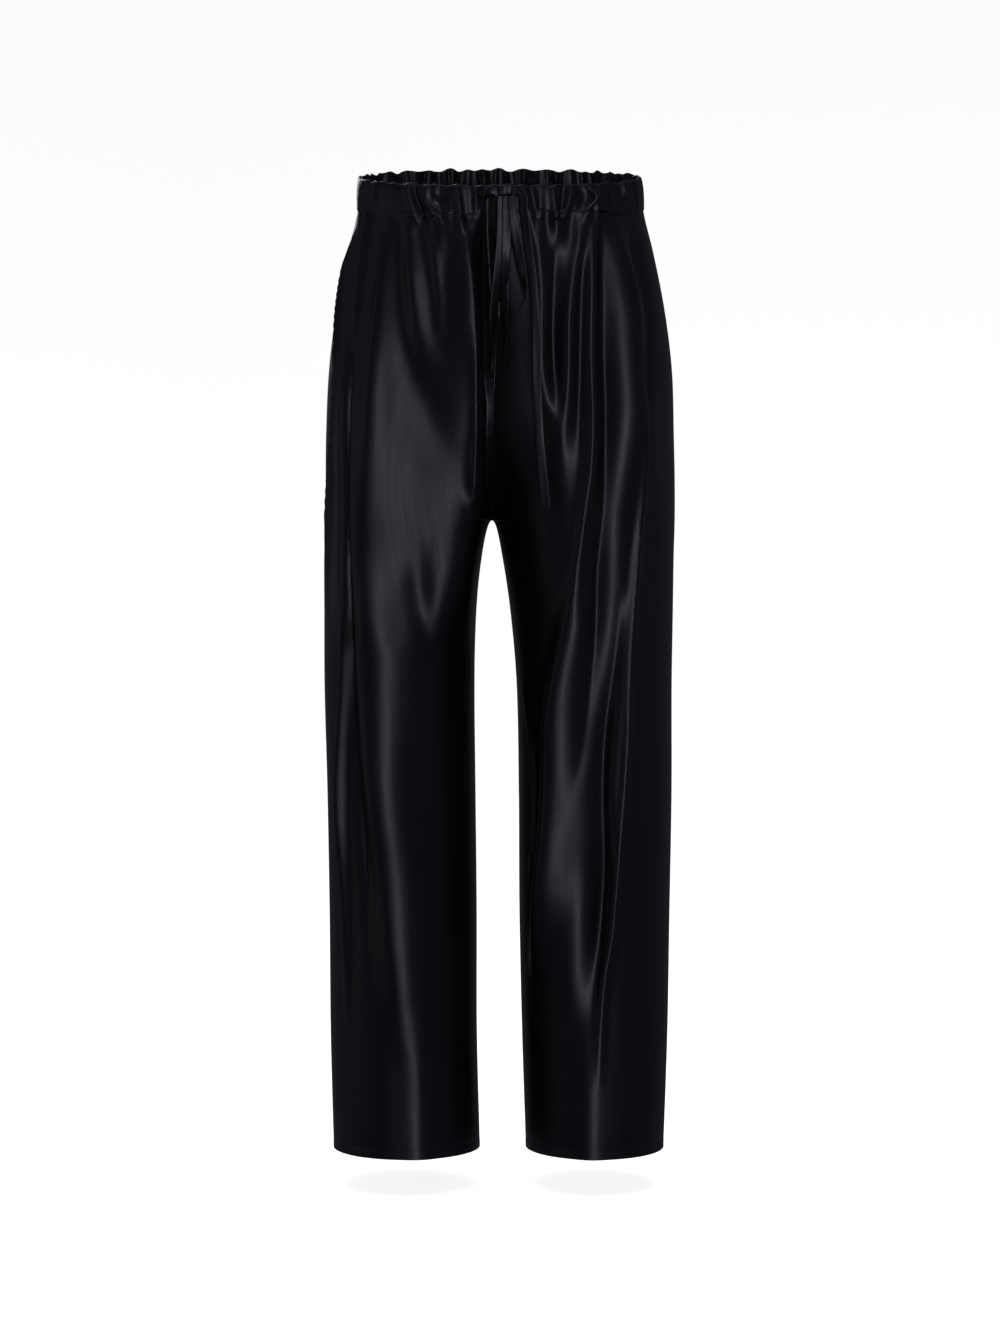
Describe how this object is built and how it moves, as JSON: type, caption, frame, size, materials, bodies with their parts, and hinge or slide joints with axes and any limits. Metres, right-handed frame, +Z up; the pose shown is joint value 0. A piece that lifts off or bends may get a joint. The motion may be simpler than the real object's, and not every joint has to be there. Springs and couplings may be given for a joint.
{
  "type": "wide-leg pull-on trousers with drawstring waist",
  "caption": "Straight wide-leg trousers in black satin with a gathered elastic casing at the waist and a ribbon drawstring tied in a bow, filled out as worn.",
  "frame": {"origin": "the middle of the waist opening, halfway up the casing at the side seams, where a wearer holds the trousers up", "axes": "+Z up towards the waist and -Z down the legs; -Y the front, with the bow; +X the wearer's left side"},
  "size_m": [0.3734, 0.2872, 1.0515],
  "materials": {
    "satin": "black satin",
    "tie_satin": "black satin ribbon"
  },
  "bodies": {
    "root": {"waist_casing": "satin", "front_right_leg": "satin", "front_left_leg": "satin", "back_right_leg": "satin", "back_left_leg": "satin", "tie_knot": "tie_satin", "tie_loop_long": "tie_satin", "tie_loop_short": "tie_satin", "tie_tail_right": "tie_satin", "tie_tail_left": "tie_satin"}
  },
  "joints": []
}
